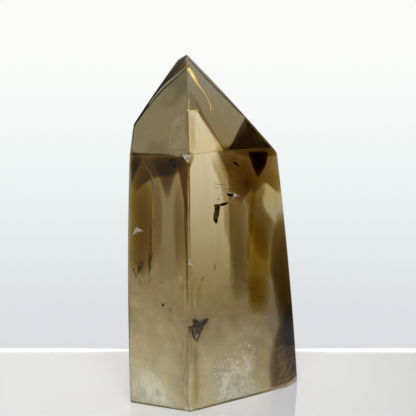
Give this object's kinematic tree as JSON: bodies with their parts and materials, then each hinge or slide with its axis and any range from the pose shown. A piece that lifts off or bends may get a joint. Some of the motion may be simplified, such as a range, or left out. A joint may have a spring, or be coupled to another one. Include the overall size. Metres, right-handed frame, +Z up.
{
  "type": "polished smoky quartz point",
  "caption": "Free-standing polished smoky quartz crystal with a flat sawn base and a faceted, off-centre pointed tip.",
  "frame": {"origin": "on the sawn base, at the middle of the crystal's bounding box", "axes": "+Z up along the crystal's length, -Y the front, where the edge between its two best faces looks out"},
  "size_m": [0.05, 0.0416, 0.0996],
  "materials": {
    "smoky_quartz": "clear smoky brown, hand polished"
  },
  "bodies": {
    "root": {"quartz_point": "smoky_quartz"}
  },
  "joints": []
}
